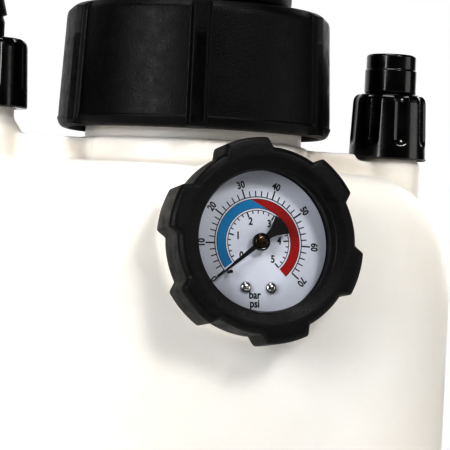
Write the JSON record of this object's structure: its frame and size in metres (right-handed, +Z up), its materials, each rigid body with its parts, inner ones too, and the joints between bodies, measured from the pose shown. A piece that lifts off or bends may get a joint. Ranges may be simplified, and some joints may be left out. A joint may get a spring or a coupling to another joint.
{
  "type": "hand pumped pressure tank",
  "caption": "Oval translucent plastic tank pressurised by a plunger hand pump, with a dial pressure gauge, a pull-up relief valve and a barbed outlet fed by a dip tube.",
  "frame": {"origin": "centre of the tank's flat base, on the axis of the pump", "axes": "+Z up along the pump, -Y towards the gauge, +X towards the relief valve"},
  "size_m": [0.196, 0.1555, 0.3622],
  "materials": {
    "natural_hdpe": "milky blow-moulded polyethylene, satin, light passes through it",
    "black_plastic": "black moulded polypropylene, fine orange-peel texture",
    "black_gloss": "smooth glossy black moulding",
    "grey_plastic": "light grey moulded plastic",
    "white_plastic": "white acetal",
    "rubber": "black seal rubber",
    "steel": "turned and plated steel",
    "brass": "machined brass",
    "window": "clear flat window",
    "clear_tube": "translucent tube",
    "painted_black": "black painted pressed steel",
    "dial_white": "satin white printed aluminium",
    "needle_black": "satin black"
  },
  "bodies": {
    "tank_body": {"tank": "natural_hdpe", "relief_seat": "white_plastic", "relief_spring": "steel", "hose_tail": "black_plastic", "outlet_gasket": "rubber", "dip_tube": "clear_tube", "dip_strainer": "black_plastic", "barrel_seal": "rubber", "gauge_gasket": "rubber", "gauge_case": "painted_black", "gauge_window": "window", "gauge_dial": "dial_white", "dial_screw_left": "steel", "dial_screw_right": "steel", "zero_stop_pin": "brass", "gauge_stem": "brass", "bourdon_tube": "brass", "movement_frame": "brass", "link_bar": "brass"},
    "pump": {"pump_barrel": "grey_plastic", "barrel_foot": "black_plastic", "foot_valve_flap": "rubber", "rod_guide": "black_plastic"},
    "collar": {"pump_collar": "black_plastic"},
    "plunger": {"piston": "white_plastic", "piston_seal": "rubber"},
    "handle": {"handle": "black_plastic", "plunger_rod": "steel", "piston_nut": "steel"},
    "needle": {"pinion_spindle": "brass", "pointer": "needle_black", "pointer_cap": "brass"},
    "sector": {"sector_gear": "brass"},
    "relief_plunger": {"relief_stem": "brass", "relief_poppet_seal": "rubber", "relief_knob": "black_gloss"},
    "relief_nut": {"relief_nut": "black_gloss"},
    "outlet_nut": {"outlet_nut": "black_gloss"},
    "gauge_nut": {"gauge_nut": "black_plastic"}
  },
  "joints": [
    {"name": "pump_lift", "type": "slide", "parent": "tank_body", "child": "pump", "axis": [0, 0, 1], "range_m": [0, 0.285]},
    {"name": "collar_turn", "type": "hinge", "parent": "pump", "child": "collar", "pos_m": [0, 0, 0.28], "axis": [0, 0, 1], "range_deg": [0, 540]},
    {"name": "plunger_stroke", "type": "slide", "parent": "pump", "child": "plunger", "axis": [0, 0, 1], "range_m": [0, 0.2]},
    {"name": "handle_twist", "type": "hinge", "parent": "plunger", "child": "handle", "pos_m": [0, 0, 0.34], "axis": [0, 0, 1], "range_deg": [0, 90]},
    {"name": "sector_swing", "type": "hinge", "parent": "tank_body", "child": "sector", "pos_m": [-0.0105, -0.06862, 0.22375], "axis": [0, -0.9925, 0.1219], "range_deg": [0, 43]},
    {"name": "gauge_needle", "type": "hinge", "parent": "tank_body", "child": "needle", "pos_m": [0, -0.07557, 0.2246], "axis": [0, 0.9925, -0.1219], "range_deg": [0, 258], "stiffness_Nm_per_rad": 0.0004, "springref_deg": -34.38},
    {"name": "relief_pull", "type": "slide", "parent": "tank_body", "child": "relief_plunger", "axis": [0, 0, 1], "range_m": [0, 0.004], "stiffness_N_per_m": 2500, "springref_m": -0.004, "deforming": ["relief_spring"]},
    {"name": "relief_nut_turn", "type": "hinge", "parent": "tank_body", "child": "relief_nut", "pos_m": [0.0783, 0, 0.27], "axis": [0, 0, 1], "range_deg": [0, 540]},
    {"name": "outlet_nut_turn", "type": "hinge", "parent": "tank_body", "child": "outlet_nut", "pos_m": [-0.0783, 0, 0.28], "axis": [0, 0, 1], "range_deg": [0, 540]},
    {"name": "gauge_nut_turn", "type": "hinge", "parent": "tank_body", "child": "gauge_nut", "pos_m": [0, -0.0845, 0.2257], "axis": [0, -0.9925, 0.1219], "range_deg": [0, 540]}
  ],
  "couplings": [
    {"joint": "gauge_needle", "follows": "sector_swing", "ratio": 6}
  ]
}
